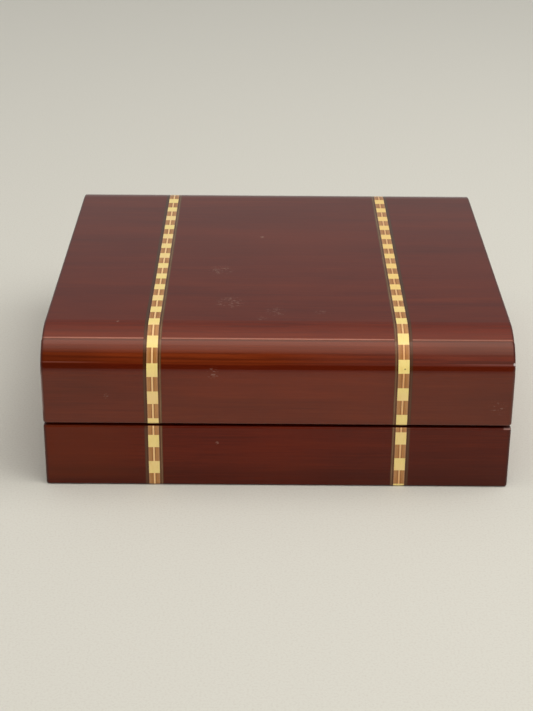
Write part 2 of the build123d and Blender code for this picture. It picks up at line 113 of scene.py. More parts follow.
class Recipe:
    def __init__(self, name):
        self.material = bpy.data.materials.new(name)
        self.material.use_nodes = True
        self.tree = self.material.node_tree
        self.shader = self.tree.nodes["Principled BSDF"]
        self.place = self.add("ShaderNodeTexCoord", output="Object")

    def connect(self, socket, value):
        if isinstance(value, Value):
            self.tree.links.new(value.socket, socket)
        else:
            socket.default_value = value

    def add(self, kind, settings=None, sockets=None, output=0):
        node = self.tree.nodes.new(kind)
        for name, setting in (settings or {}).items():
            setattr(node, name, setting)
        for name, value in (sockets or {}).items():
            self.connect(node.inputs[name], value)
        return Value(self, node.outputs[output])

    def finish(self, **sockets):
        for name, value in sockets.items():
            self.connect(self.shader.inputs[name.replace("_", " ")], value)
        return self.material

    def axes(self, vector):
        return [self.add("ShaderNodeSeparateXYZ", None, {0: vector}, output=axis) for axis in "XYZ"]

    def mapped(self, vector, scale, turn=(0, 0, 0), shift=(0, 0, 0)):
        sockets = {"Vector": vector, "Scale": scale, "Rotation": turn, "Location": shift}
        return self.add("ShaderNodeMapping", None, sockets)

    def noise(self, vector, detail=2.0, rough=0.5, warp=0.0):
        sockets = {"Vector": vector, "Scale": 1.0, "Detail": detail, "Roughness": rough, "Distortion": warp}
        return self.add("ShaderNodeTexNoise", None, sockets, output="Fac")

    def evenNoise(self, repeats, **look):
        # the same number of repeats a metre in every direction
        return self.noise(self.mapped(self.place, (repeats, repeats, repeats)), **look)

    def grain(self, place, along, length, width, **look):
        # noise that is drawn out along one axis. Length and width are those of one repeat
        scale = tuple(1 / length if axis == along else 1 / width for axis in "XYZ")
        return self.noise(self.mapped(place, scale), **look)

    def mix(self, factor, first, second, blend="MIX"):
        settings = {"data_type": "RGBA", "blend_type": blend}
        sockets = {0: factor, 6: first, 7: second}  # 6 and 7 are the ones for colours
        return self.add("ShaderNodeMix", settings, sockets, output=2)

    def ramp(self, value, *stops):
        shade = self.add("ShaderNodeValToRGB", None, {0: value}, output="Color")
        setStops(shade.socket.node, stops)
        return shade

    def bump(self, height, distance, strength=1.0, normal=None):
        sockets = {"Height": height, "Distance": distance, "Strength": strength}
        if normal:
            sockets["Normal"] = normal
        return self.add("ShaderNodeBump", None, sockets, output="Normal")


# The wood: stained red-brown, straight grained, under a thick gloss lacquer. Lengths are in metres.
# A range says where a pattern starts to show and where it is full, a share how much of it is laid on
wood = {
    "dark": colour(68, 10, 2),
    "middle": colour(88, 21, 4),
    "light": colour(108, 36, 9),
    "ember": colour(114, 38, 6),
    "poreShade": colour(52, 8, 3),
    "dust": colour(205, 180, 160),
    "band": {"length": 0.22, "width": 0.016, "detail": 3, "rough": 0.55, "warp": 0.3},
    "streak": {"length": 0.07, "width": 0.0013, "detail": 4, "rough": 0.6, "warp": 0.2},
    "flame": {"length": 0.028, "width": 0.0007, "detail": 3, "rough": 0.65, "warp": 0.5},
    "tongue": {"length": 0.06, "width": 0.0014, "detail": 3, "rough": 0.6, "warp": 0.9},  # of growth layers
    "mottle": {"length": 0.03, "width": 0.009, "detail": 3, "rough": 0.6, "warp": 0.6},
    "pore": {"length": 0.005, "width": 0.0002, "detail": 1, "rough": 0.5},
    "bandShare": 0.4,
    "streakShare": 0.25,
    "flameShare": 0.35,
    "figureReach": 0.15,  # how far from its middle the figure runs to its darkest and palest
    "cloudRepeats": (7, 11, 11),
    "cloudRange": (0.45, 0.75),
    "cloudShare": 0.3,
    "mottleRange": (0.5, 0.75),
    "mottleShare": 0.3,
    "poreRange": (0.62, 0.78),
    "poreShare": 0.4,
    "bandWander": 0.002,  # how far the broad bands push a growth layer aside
    "layerBreak": (0.38, 0.56),  # where the tongues break it up
    "markBreak": (0.3, 0.6),  # where the flames break up an uneven mark
    "grit": {"detail": 2, "rough": 0.6, "warp": 0.4},
    "gritRepeats": (450.0, 1400.0, 1900.0),  # fine scratches, a little askew
    "gritTurn": (0.2, 0.35, 0.4),
    "gritSoft": 0.08,
    "spotCore": 0.4,  # share of a spot's size within which it is full
    "speckCore": 0.6,  # the same of a speck
    "speckFade": 0.95,  # how soon a chosen speck is at its full strength
    "dustSpecks": {"spacing": 0.013, "size": 0.0002, "share": 0.06},
    "dustStrength": 0.5,
    "rippleRepeats": (55, 55, 55),
    "rippleDepth": 0.00004,
    "figureDepth": 0.00002,
    "figureBump": 0.5,
    "coatRoughness": 0.03,
    "coatIor": 1.4,
    "lustre": 0.65,
    "lustreTint": (1.0, 0.27, 0.08, 1.0),
    "lustreRoughness": 0.42,
}


def specks(recipe, place, spacing, size, share):
    # small round flecks, on a share of the cells of a pattern
    sockets = {"Vector": place, "Scale": 1 / spacing}
    distance = recipe.add("ShaderNodeTexVoronoi", None, sockets, output="Distance")
    cell = recipe.add("ShaderNodeTexVoronoi", None, sockets, output="Color")
    chosen = recipe.axes(cell)[0].over(1 - share, 1 - wood["speckFade"] * share)
    return chosen * (1 - distance.over(wood["speckCore"] * size / spacing, size / spacing))


def spot(lines, middle, size):
    # 1 round a place and 0 where it is farther away than size
    x, y, z = [(line - at).power(2) for line, at in zip(lines, middle)]
    return 1 - (x + y + z).power(0.5).over(wood["spotCore"] * size, size)


def lacquered(recipe, base, normal, lustre=wood["lustre"], coat=1.0):
    return recipe.finish(
        Base_Color=base,
        Roughness=wood["lustreRoughness"],
        Specular_IOR_Level=lustre,
        Specular_Tint=wood["lustreTint"],
        Coat_Weight=coat,
        Coat_Roughness=wood["coatRoughness"],
        Coat_IOR=wood["coatIor"],
        Normal=normal,
    )


# Bands along the board: growth layers that the shoulder cuts into, and on the shoulder also bands of painted
# light and painted shade. Each lies about a height or a depth, and can fade out towards one end
def layerStrength(layer, lines, band, tongue):
    x, y, z = lines
    wander = (band - 0.5) * wood["bandWander"] + (tongue - 0.5) * layer["ragged"]
    line = z - layer["height"] if "height" in layer else y - layer["deep"]
    away = ((line + wander) / layer["reach"]).size()
    strength = (1 - away.over(1 - layer["soft"], 1.0)) * layer["strength"]
    whole = tongue.over(*wood["layerBreak"]) * layer["broken"] + (1 - layer["broken"])
    strength = whole * strength
    if "until" in layer:
        strength = (1 - x.over(*layer["until"])) * strength
    return strength


# Worn and stained places, and places of painted highlight and painted shade. Each is held in by planes,
# by a spot or by both ends of the board
def markStrength(mark, lines, grit, flame):
    strength = mark["strength"]
    for axis, line in zip(("across", "deep", "high"), lines):
        if axis in mark:
            low, high, soft = mark[axis]
            strength = line.between(low, high, soft) * strength
    if "ends" in mark:
        strength = lines[0].size().over(*mark["ends"]) * strength
    if "spot" in mark:
        strength = spot(lines, mark["spot"], mark["size"]) * strength
    if "grit" in mark:
        strength = grit.over(mark["grit"], mark["grit"] + wood["gritSoft"]) * strength
    if "uneven" in mark:
        whole = flame.over(*wood["markBreak"]) * mark["uneven"] + (1 - mark["uneven"])
        strength = whole * strength
    return strength


def lacqueredWood(name, along="X", shift=(0, 0, 0), tone=(1.0, 1.0, 1.0), lustre=1.0, coat=1.0, layers=(),
                  marks=()):
    recipe = Recipe(name)
    lines = recipe.axes(recipe.place)
    place = recipe.mapped(recipe.place, (1, 1, 1), shift=shift)
    band = recipe.grain(place, along, **wood["band"])
    streak = recipe.grain(place, along, **wood["streak"])
    flame = recipe.grain(place, along, **wood["flame"])
    pore = recipe.grain(place, along, **wood["pore"])
    mottle = recipe.grain(place, along, **wood["mottle"])
    cloud = recipe.noise(recipe.mapped(place, wood["cloudRepeats"]))
    figure = band * wood["bandShare"] + streak * wood["streakShare"] + flame * wood["flameShare"]
    low, high = 0.5 - wood["figureReach"], 0.5 + wood["figureReach"]
    base = recipe.ramp(figure, (low, wood["dark"]), (0.5, wood["middle"]), (high, wood["light"]))
    base = recipe.mix(cloud.over(*wood["cloudRange"]) * wood["cloudShare"], base, wood["ember"])
    base = recipe.mix(mottle.over(*wood["mottleRange"]) * wood["mottleShare"], base, wood["dark"])
    if layers:
        tongue = recipe.grain(place, along, **wood["tongue"])
    for layer in layers:
        base = recipe.mix(layerStrength(layer, lines, band, tongue), base, layer["colour"])
    base = recipe.mix(pore.over(*wood["poreRange"]) * wood["poreShare"], base, wood["poreShade"])
    base = recipe.mix(1.0, base, (*tone, 1.0), "MULTIPLY")
    grit = recipe.noise(recipe.mapped(recipe.place, wood["gritRepeats"], wood["gritTurn"]), **wood["grit"])
    for mark in marks:
        base = recipe.mix(markStrength(mark, lines, grit, flame), base, mark["colour"])
    base = recipe.mix(specks(recipe, place, **wood["dustSpecks"]) * wood["dustStrength"], base, wood["dust"])
    ripple = recipe.noise(recipe.mapped(place, wood["rippleRepeats"]), detail=1)
    normal = recipe.bump(ripple, wood["rippleDepth"])
    normal = recipe.bump(figure, wood["figureDepth"], wood["figureBump"], normal)
    return lacquered(recipe, base, normal, wood["lustre"] * lustre, coat)


# The inlay: five woods laid side by side, under the same lacquer
inlay = {
    "pale": (colour(255, 235, 148), colour(248, 214, 126), colour(255, 224, 156)),
    "brown": (colour(178, 126, 70), colour(144, 91, 43), colour(196, 144, 88)),
    "centre": (colour(234, 180, 120), colour(214, 156, 96), colour(242, 200, 142)),
    "dark": (colour(76, 50, 30), colour(52, 30, 16), colour(92, 66, 42)),
    "grey": (colour(114, 86, 56), colour(88, 62, 38), colour(130, 104, 74)),
    "fibreWidth": 0.00025,
    "fibreLength": 0.003,
    "fibreRange": (0.4, 0.75),
    "fibreShare": 0.55,
    "fibreDepth": 0.00001,
    "fibreBump": 0.5,
    "blockPitch": 0.0152,  # the tone changes about once a block along the band
    "acrossRepeats": 2,  # and hardly at all across it
    "toneRange": (0.35, 0.7),
    "leftToRight": (-0.01, 0.01),  # between the two bands, where the look of one gives way to the other's
    "heart": colour(128, 72, 30),  # of a brown slip: darker beside the centre slip
    "heartRange": (0.2, 0.5),
    "rind": colour(190, 140, 100),  # and paler and pinker outside
    "rindRange": (0.62, 0.95),
    "slipShare": 0.6,
    "centreLeft": colour(255, 214, 152),  # the slip of the left band is paler
    "centreLeftShare": 0.8,
    "paleRight": colour(255, 216, 128),  # and the blocks of the right one warmer on the top
    "paleRightShare": 0.8,
    "frontToTop": (-0.1, -0.04),  # depth over which that sets in
    "outside": colour(52, 28, 14),  # the lines on the sides away from the middle of the box are darker
    "outsideShare": 0.8,
    "outsideRange": (-0.0001, 0.0001),
    "speck": colour(92, 66, 30),
    "specks": {"spacing": 0.011, "size": 0.0003, "share": 0.08},
    "speckStrength": 0.8,
    "stains": ((0.0641, -0.1180, 0.0673, 0.0006), (-0.0640, -0.1186, 0.0672, 0.0005)),  # place and size
    "stainStrength": 0.7,
}


def inlaidWood(kind, bandMiddle, slipReach):
    recipe = Recipe("inlay_" + kind)
    plain, deep, warm = inlay[kind]
    lines = recipe.axes(recipe.place)
    x, y = lines[:2]
    outwards = x.size() - bandMiddle
    across = outwards.size()  # from the middle of the band
    narrow, long = 1 / inlay["fibreWidth"], 1 / inlay["fibreLength"]
    fibre = recipe.noise(recipe.mapped(recipe.place, (narrow, long, long)), detail=2, rough=0.6)
    pitch = 1 / inlay["blockPitch"]
    tone = recipe.noise(recipe.mapped(recipe.place, (inlay["acrossRepeats"], pitch, pitch)), detail=1)
    base = recipe.mix(tone.over(*inlay["toneRange"]), plain, warm)
    base = recipe.mix(fibre.over(*inlay["fibreRange"]) * inlay["fibreShare"], base, deep)
    if kind == "brown":
        rind = across.over(*[share * slipReach for share in inlay["rindRange"]])
        heart = 1 - across.over(*[share * slipReach for share in inlay["heartRange"]])
        base = recipe.mix(rind * inlay["slipShare"], base, inlay["rind"])
        base = recipe.mix(heart * inlay["slipShare"], base, inlay["heart"])
    if kind == "centre":
        left = 1 - x.over(*inlay["leftToRight"])
        base = recipe.mix(left * inlay["centreLeftShare"], base, inlay["centreLeft"])
    if kind == "pale":
        rightTop = x.over(*inlay["leftToRight"]) * y.over(*inlay["frontToTop"])
        base = recipe.mix(rightTop * inlay["paleRightShare"], base, inlay["paleRight"])
        dots = specks(recipe, recipe.place, **inlay["specks"])
        base = recipe.mix(dots * inlay["speckStrength"], base, inlay["speck"])
        for *middle, size in inlay["stains"]:
            base = recipe.mix(spot(lines, middle, size) * inlay["stainStrength"], base, inlay["speck"])
    if kind in ("dark", "grey"):
        outer = outwards.over(*inlay["outsideRange"])
        base = recipe.mix(outer * inlay["outsideShare"], base, inlay["outside"])
    return lacquered(recipe, base, recipe.bump(fibre, inlay["fibreDepth"], inlay["fibreBump"]))


# Cloth inside and under the box: the first colour is deep in the nap or weave, the second on its top
cloth = {
    "velvet": (colour(18, 56, 40), colour(34, 84, 60)),
    "satin": (colour(20, 66, 46), colour(34, 88, 64)),
    "baize": (colour(24, 70, 44), colour(44, 92, 58)),
    "sheenTint": colour(120, 200, 160),
    "pileSpacing": 0.00035,
    "pileRange": (0.4, 0.8),
    "pileShare": 0.5,
    "brushedPatch": 0.018,
    "patchRange": (0.3, 0.75),
    "patchShare": 0.35,
    "patchHeight": 0.6,
    "thread": {"length": 0.004, "width": 0.00022, "detail": 2, "rough": 0.6},
    "threadRange": (0.3, 0.7),
    "threadShare": 0.6,
    "slub": {"length": 0.02, "width": 0.0009, "detail": 2, "rough": 0.5},
    "slubRange": (0.5, 0.8),
    "slubShare": 0.3,
    "weaveDepth": 0.00006,
}


def napped(name, kind, sheen, depth):
    recipe = Recipe(name)
    deep, raised = cloth[kind]
    pile = recipe.evenNoise(1 / cloth["pileSpacing"], detail=2, rough=0.7)
    patch = recipe.evenNoise(1 / cloth["brushedPatch"], detail=3, rough=0.55, warp=0.6)
    brushed = patch.over(*cloth["patchRange"]) * cloth["patchShare"]
    lit = brushed + pile.over(*cloth["pileRange"]) * cloth["pileShare"]
    return recipe.finish(
        Base_Color=recipe.mix(lit, deep, raised),
        Roughness=0.95,
        Specular_IOR_Level=0.1,
        Sheen_Weight=sheen,
        Sheen_Roughness=0.35,
        Sheen_Tint=cloth["sheenTint"],
        Normal=recipe.bump(pile + patch * cloth["patchHeight"], depth),
    )


def satin(name):
    recipe = Recipe(name)
    deep, raised = cloth["satin"]
    thread = recipe.grain(recipe.place, "Y", **cloth["thread"])
    slub = recipe.grain(recipe.place, "X", **cloth["slub"])
    threads = thread.over(*cloth["threadRange"]) * cloth["threadShare"]
    lit = threads + slub.over(*cloth["slubRange"]) * cloth["slubShare"]
    return recipe.finish(
        Base_Color=recipe.mix(lit, deep, raised),
        Roughness=0.42 + thread * 0.12,
        Specular_IOR_Level=0.6,
        Specular_Tint=cloth["sheenTint"],
        Sheen_Weight=0.15,
        Sheen_Tint=cloth["sheenTint"],
        Normal=recipe.bump(thread + slub, cloth["weaveDepth"]),
    )


# Hinges and screws
brass = {
    "bright": colour(236, 200, 128),
    "tarnish": colour(186, 142, 84),
    "tarnishRepeats": 320,
    "tarnishRange": (0.42, 0.72),
    "brush": {"length": 0.006, "width": 0.00012, "detail": 2},
    "brushDepth": 0.00001,
    "brushBump": 0.6,
}


def oldBrass():
    recipe = Recipe("brass_old")
    brush = recipe.grain(recipe.place, "X", **brass["brush"])
    stain = recipe.evenNoise(brass["tarnishRepeats"], detail=3, rough=0.6, warp=0.4)
    return recipe.finish(
        Base_Color=recipe.mix(stain.over(*brass["tarnishRange"]), brass["bright"], brass["tarnish"]),
        Metallic=1.0,
        Roughness=0.24 + stain * 0.2 + brush * 0.1,
        Normal=recipe.bump(brush, brass["brushDepth"], brass["brushBump"]),
    )


# The bottom board shows only where the baize and the linings end
board = {
    "face": colour(178, 140, 98),
    "streakShade": colour(142, 106, 68),
    "streak": {"length": 0.09, "width": 0.0014, "detail": 3, "rough": 0.6, "warp": 0.2},
    "streakRange": (0.35, 0.7),
    "streakDepth": 0.00004,
    "streakBump": 0.5,
}


def plainBoard():
    recipe = Recipe("board_plain")
    streak = recipe.grain(recipe.place, "X", **board["streak"])
    return recipe.finish(
        Base_Color=recipe.mix(streak.over(*board["streakRange"]), board["face"], board["streakShade"]),
        Roughness=0.75,
        Normal=recipe.bump(streak, board["streakDepth"], board["streakBump"]),
    )


# Stage: a pale floor, a soft panel overhead that lights the box and shows in its gloss, and a dark card
# in front that shows in the gloss alone. Stops pair a place from 0 to 1 with a level of light
studio = {
    "floorSize": 24.0,
    "floor": colour(219, 218, 209),
    "floorFleck": colour(200, 194, 184),
    "fleckRepeats": 900,
    "fleckRange": (0.4, 0.8),
    "fleckShare": 0.35,
    "lampTint": (1.0, 0.985, 0.965),
    "skyStops": (
        (0.0, 0.5), (0.05, 0.45), (0.09, 0.28), (0.33, 0.3),
        (0.42, 0.17), (0.66, 0.25), (0.86, 0.56), (1.0, 1.05),
    ),
    "panelHeight": 1.25,
    "panelHalfWidth": 0.9,
    "panelBack": -0.09,
    "panelFront": -1.0,
    "panelLevel": 2.4,
    "panelTint": (1.0, 0.95, 0.89, 1.0),
    "panelStops": ((0.0, 1.0), (0.1, 0.96), (0.22, 0.82), (0.4, 0.6), (0.6, 0.45), (0.8, 0.22), (1.0, 0.1)),
    "panelSlant": 0.5,  # its glow reaches farther forward towards the right
    "panelRightSlant": 1.4,  # and still more so right of the middle
    "cardDistance": 1.0,
    "cardHalfWidth": 1.7,
    "cardFoot": 0.113,
    "cardTop": 1.24,
    "cardLevel": 0.01,
    "cardGlow": 0.6,  # the pale upper part of the card, right of the middle
    "glowFoot": 0.34,
    "glowSoft": 0.03,
    "glowSteps": ((-0.02, 0.12, 0.5), (0.08, 0.3, 0.7)),  # from, to and how much it adds
    "lamps": {
        "key": {"place": (0.95, -0.3, 1.4), "size": 1.6, "power": 15.0},
        "front": {"place": (-0.1, -1.3, 1.45), "size": 1.3, "power": 6.5},
        "back": {"place": (-0.6, 1.2, 1.2), "size": 1.2, "power": 1.0},
    },
    "aim": (0.0, 0.0, 0.05),
}


def linkTo(name, data):
    thing = bpy.data.objects.new(name, data)
    scene.collection.objects.link(thing)
    return thing


def sheet(name, corners, material):
    mesh = bpy.data.meshes.new(name)
    bm = bmesh.new()
    bm.faces.new([bm.verts.new(corner) for corner in corners])
    bm.to_mesh(mesh)
    bm.free()
    mesh.materials.append(material)
    return linkTo(name, mesh)


def tinted(level):
    return [level * share for share in studio["lampTint"]] + [1.0]


def tintedStops(name):
    return [(place, tinted(level)) for place, level in studio[name]]


def glowing(recipe, glow, strength):
    return recipe.finish(
        Base_Color=(0.0, 0.0, 0.0, 1.0),
        Specular_IOR_Level=0.0,
        Emission_Color=glow,
        Emission_Strength=strength,
    )


def buildFloor():
    reach = studio["floorSize"] / 2
    recipe = Recipe("floor_cloth")
    fleck = recipe.evenNoise(studio["fleckRepeats"], detail=2)
    share = fleck.over(*studio["fleckRange"]) * studio["fleckShare"]
    shade = recipe.mix(share, studio["floor"], studio["floorFleck"])
    material = recipe.finish(Base_Color=shade, Roughness=0.9, Specular_IOR_Level=0.1)
    corners = ((-reach, -reach, 0), (reach, -reach, 0), (reach, reach, 0), (-reach, reach, 0))
    sheet("floor", corners, material)


def buildCard():
    reach = studio["cardHalfWidth"]
    away = -studio["cardDistance"]
    foot, top = studio["cardFoot"], studio["cardTop"]
    recipe = Recipe("card_glow")
    x, _, z = recipe.axes(recipe.place)
    (low, high, share), (lowRight, highRight, shareRight) = studio["glowSteps"]
    rightwards = x.over(low, high) * share + x.over(lowRight, highRight) * shareRight
    pale = z.over(studio["glowFoot"], studio["glowFoot"] + studio["glowSoft"]) * rightwards
    glow = recipe.mix(pale, tinted(studio["cardLevel"]), tinted(studio["cardGlow"]))
    corners = ((reach, away, foot), (-reach, away, foot), (-reach, away, top), (reach, away, top))
    card = sheet("dark_card", corners, glowing(recipe, glow, 1.0))
    card.visible_camera = False
    card.visible_diffuse = False
    card.visible_shadow = False


def buildPanel():
    side, height = studio["panelHalfWidth"], studio["panelHeight"]
    back, front = studio["panelBack"], studio["panelFront"]
    recipe = Recipe("panel_glow")
    x, y, _ = recipe.axes(recipe.place)
    rightOnly = x.maths("MAXIMUM", x, 0.0)
    reach = 1 + x * studio["panelSlant"] + rightOnly * studio["panelRightSlant"]
    glow = recipe.ramp((back - y) / reach, *tintedStops("panelStops"))
    glow = recipe.mix(1.0, glow, studio["panelTint"], "MULTIPLY")
    corners = ((-side, back, height), (side, back, height), (side, front, height), (-side, front, height))
    panel = sheet("soft_panel", corners, glowing(recipe, glow, studio["panelLevel"]))
    panel.visible_camera = False
    panel.visible_shadow = False


def buildSky():
    world = bpy.data.worlds.new("studio")
    world.use_nodes = True
    scene.world = world
    tree = world.node_tree
    background = tree.nodes["Background"]
    coordinates = tree.nodes.new("ShaderNodeTexCoord")
    split = tree.nodes.new("ShaderNodeSeparateXYZ")
    ramp = tree.nodes.new("ShaderNodeValToRGB")
    tree.links.new(coordinates.outputs["Generated"], split.inputs[0])
    tree.links.new(split.outputs["Z"], ramp.inputs[0])
    tree.links.new(ramp.outputs["Color"], background.inputs["Color"])
    setStops(ramp, tintedStops("skyStops"))
    background.inputs["Strength"].default_value = 1.0


def hangLamp(name, place, size, power):
    data = bpy.data.lights.new(name, "AREA")
    data.shape = "SQUARE"
    data.size = size
    data.energy = power
    data.color = studio["lampTint"]
    lamp = linkTo(name, data)
    lamp.location = place
    lamp.rotation_euler = (Vector(studio["aim"]) - lamp.location).to_track_quat("-Z", "Y").to_euler()
    lamp.visible_glossy = False


# The camera of the photograph, found from the box's own edges
view = {
    "place": (-0.0066, -0.8351, 0.4108),
    "lens": 79.91,
    "frameHeight": 36.0,
    "nearest": 0.01,
    "yaw": 0.063,
    "pitch": 25.13,
    "roll": 0.431,
}


def buildCamera():
    data = bpy.data.cameras.new("camera")
    data.sensor_fit = "VERTICAL"
    data.sensor_height = view["frameHeight"]
    data.lens = view["lens"]
    data.clip_start = view["nearest"]
    camera = linkTo("camera", data)
    yaw, pitch, roll = (radians(view[name]) for name in ("yaw", "pitch", "roll"))
    forward = Vector((sin(yaw) * cos(pitch), cos(yaw) * cos(pitch), -sin(pitch)))
    right = Vector((cos(yaw), -sin(yaw), 0))
    up = right.cross(forward)
    turnedRight = right * cos(roll) + up * sin(roll)
    turnedUp = up * cos(roll) - right * sin(roll)
    turned = Matrix((turnedRight, turnedUp, -forward)).transposed().to_4x4()
    camera.matrix_world = Matrix.Translation(view["place"]) @ turned
    scene.camera = camera


buildFloor()
buildCard()
buildSky()
buildPanel()
for name, lamp in studio["lamps"].items():
    hangLamp(name + "_box", **lamp)
buildCamera()
print("stage, light and camera stand")


# The padded lining of the lid: cloth over thin foam, glued to the panel behind it
pad = {
    "segments": 64,
    "inset": 0.0004,  # the start shape is this much smaller all round than the lining's place
    "clearance": 0.0002,  # above and below
    "edgeThickness": 0.0026,
    "thickness": 0.0046,
    "roll": 7,  # how suddenly it rises from its edges
    "pressure": 4.0,
    "frames": 20,
    "quickFrames": 4,
    "mostMove": 0.0018,
    "stretch": 12.0,
    "drawnIn": 0.0009,  # sides between the corners
    "drawnInPower": 6,  # how near to the edge that starts
    "wave": 0.0005,  # the cloth is not quite even over its foam
    "waveLength": 0.022,
    "pucker": 0.0011,  # gathers where it is drawn round the edges
    "puckerLength": 0.007,
    "puckerReach": 0.009,
    "flatness": 0.00001,  # what still counts as its flat back
}


def padSlab(bm):
    # three layers of points, a unit thick, over a grid from -1 to 1
    bmesh.ops.create_grid(bm, x_segments=pad["segments"], y_segments=pad["segments"], size=1.0)
    layer = bm.faces[:]
    for step in range(2):
        grown = bmesh.ops.extrude_face_region(bm, geom=layer)["geom"]
        if step:  # the layer between the outer two would be left inside
            bmesh.ops.delete(bm, geom=layer, context="FACES")
        layer = [item for item in grown if isinstance(item, bmesh.types.BMFace)]
        moved = [item for item in grown if isinstance(item, bmesh.types.BMVert)]
        bmesh.ops.translate(bm, verts=moved, vec=(0, 0, -0.5))
    for items in (bm.edges, bm.faces):  # put in the same order in every run
        for rank, item in enumerate(sorted(items, key=placeKey)):
            item.index = rank
        items.sort()


def placeKey(item):
    middle = sum((vert.co for vert in item.verts), Vector()) / len(item.verts)
    return tuple(round(value, 6) for value in middle)


def buildPad():
    low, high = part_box("lid_pad")
    mesh = bpy.data.meshes.new("lid_padding")
    bm = bmesh.new()
    padSlab(bm)
    halfWide, halfDeep = (high.x - low.x) / 2 - pad["inset"], (high.y - low.y) / 2 - pad["inset"]
    for vert in bm.verts:  # sides drawn in between the corners
        u, v = vert.co.x, vert.co.y
        vert.co.x = u * (halfWide - pad["drawnIn"] * (1 - v * v) * abs(u) ** pad["drawnInPower"])
        vert.co.y = v * (halfDeep - pad["drawnIn"] * (1 - u * u) * abs(v) ** pad["drawnInPower"])
        crown = (1 - abs(u) ** pad["roll"]) * (1 - abs(v) ** pad["roll"])
        thick = pad["edgeThickness"] + (pad["thickness"] - pad["edgeThickness"]) * crown
        vert.co.z = high.z - pad["clearance"] + vert.co.z * thick
    bmesh.ops.recalc_face_normals(bm, faces=bm.faces)
    bm.to_mesh(mesh)
    bm.free()
    padding = linkTo("lid_padding", mesh)
    glued = padding.vertex_groups.new(name="glued")
    top = max(vert.co.z for vert in mesh.vertices) - pad["flatness"]
    glued.add([vert.index for vert in mesh.vertices if vert.co.z > top], 1.0, "REPLACE")
    swell(padding, low, high)
    finer = padding.modifiers.new("finer", "SUBSURF")
    finer.levels = finer.render_levels = 1
    return padding


def unevenness(place, low, high):
    wave = noise.noise(Vector((place.x, place.y, 0)) / pad["waveLength"]) * pad["wave"]
    toSide = min(place.x - low.x, high.x - place.x)
    toFront = min(place.y - low.y, high.y - place.y)
    along = place.y if toSide < toFront else place.x
    gather = noise.noise(Vector((along / pad["puckerLength"], 0.5, 0.5))) * pad["pucker"]
    return wave + gather * exp(-min(toSide, toFront) / pad["puckerReach"])


def swell(padding, low, high):
    swelling = padding.modifiers.new("swell", "CLOTH")
    settings = swelling.settings
    settings.use_pressure = True
    settings.uniform_pressure_force = pad["pressure"]
    settings.tension_stiffness = pad["stretch"]
    settings.compression_stiffness = pad["stretch"]
    settings.vertex_group_mass = "glued"
    settings.effector_weights.gravity = 0.0
    frames = pad["frames"]
    swelling.point_cache.frame_start = 1
    swelling.point_cache.frame_end = frames
    for moment in range(1, frames + 1):
        scene.frame_set(moment)
    blown = padding.evaluated_get(bpy.context.evaluated_depsgraph_get()).to_mesh()
    moves = [new.co - old.co for new, old in zip(blown.vertices, padding.data.vertices)]
    largest = max(move.length for move in moves)
    share = min(1.0, pad["mostMove"] / largest)
    for vert, move in zip(padding.data.vertices, moves):
        vert.co += move * share
        if vert.co.z < high.z - pad["edgeThickness"] / 2:
            lowest = low.z + pad["clearance"]
            vert.co.z = max(vert.co.z + unevenness(vert.co, low, high), lowest)
    padding.modifiers.remove(swelling)
    scene.frame_set(1)
    for polygon in padding.data.polygons:
        polygon.use_smooth = True
    print("lid padding swelled by", round(largest * 1000, 2), "mm, kept", round(share, 2))


# Growth layers, bands of painted light and painted shade, and marks of the boards, some of them painted
# highlights and painted shade. A layer has its place, how far it reaches, how soft its edges are, how ragged
# it runs and what share of it is broken up. The across, deep and high of a mark say from where to where it
# goes along X, Y and Z, and over how much it fades beyond
def scuff(x, y, z, size, grit, strength):
    return {"spot": (x, y, z), "size": size, "grit": grit, "strength": strength, "colour": wood["dust"]}


# painted shade: the boards darker along the rounded corners at their ends
paintedArrisShade = {"ends": (0.1178, 0.1192), "strength": 0.6, "colour": colour(46, 12, 10)}
# painted highlight on the top panel's edge where it meets the front rail
jointHighlight = {
    "deep": (-0.10872, -0.10805, 0.0001), "uneven": 0.35,
    "strength": 0.8, "colour": colour(176, 118, 100),
}
topLayers = (
    {"deep": -0.0962, "reach": 0.0013, "soft": 0.8, "ragged": 0.008, "broken": 0.9,
     "strength": 0.8, "colour": colour(58, 8, 4)},
    {"deep": -0.0995, "reach": 0.0010, "soft": 0.8, "ragged": 0.007, "broken": 0.9,
     "strength": 0.75, "colour": colour(58, 8, 4)},
    {"deep": -0.1032, "reach": 0.0012, "soft": 0.8, "ragged": 0.007, "broken": 0.9,
     "strength": 0.65, "colour": colour(62, 10, 4)},
)
topMarks = (
    # painted light where the top rounds over towards the front, stronger at the right end
    {"deep": (-0.1078, -0.0960, 0.003),
     "strength": 0.16, "colour": colour(128, 36, 8)},
    {"deep": (-0.1078, -0.0960, 0.003), "across": (0.08, 0.13, 0.02),
     "strength": 0.22, "colour": colour(138, 38, 10)},
    jointHighlight,
    {"deep": (-0.1075, -0.094, 0.005), "across": (0.075, 0.12, 0.012), "uneven": 1.0,
     "strength": 0.45, "colour": colour(54, 9, 4)},
    scuff(-0.082, -0.0961, 0.0825, size=0.0011, grit=0.42, strength=0.6),
    scuff(-0.0252, -0.0702, 0.083, size=0.009, grit=0.57, strength=0.36),
    scuff(0.0221, -0.0825, 0.083, size=0.0035, grit=0.55, strength=0.36),
    scuff(-0.0008, -0.0825, 0.083, size=0.007, grit=0.6, strength=0.3),
    scuff(-0.0082, -0.0908, 0.083, size=0.003, grit=0.55, strength=0.3),
    scuff(-0.0312, -0.0254, 0.083, size=0.008, grit=0.58, strength=0.32),
    scuff(-0.0088, 0.0261, 0.083, size=0.0016, grit=0.45, strength=0.4),
    paintedArrisShade,
)
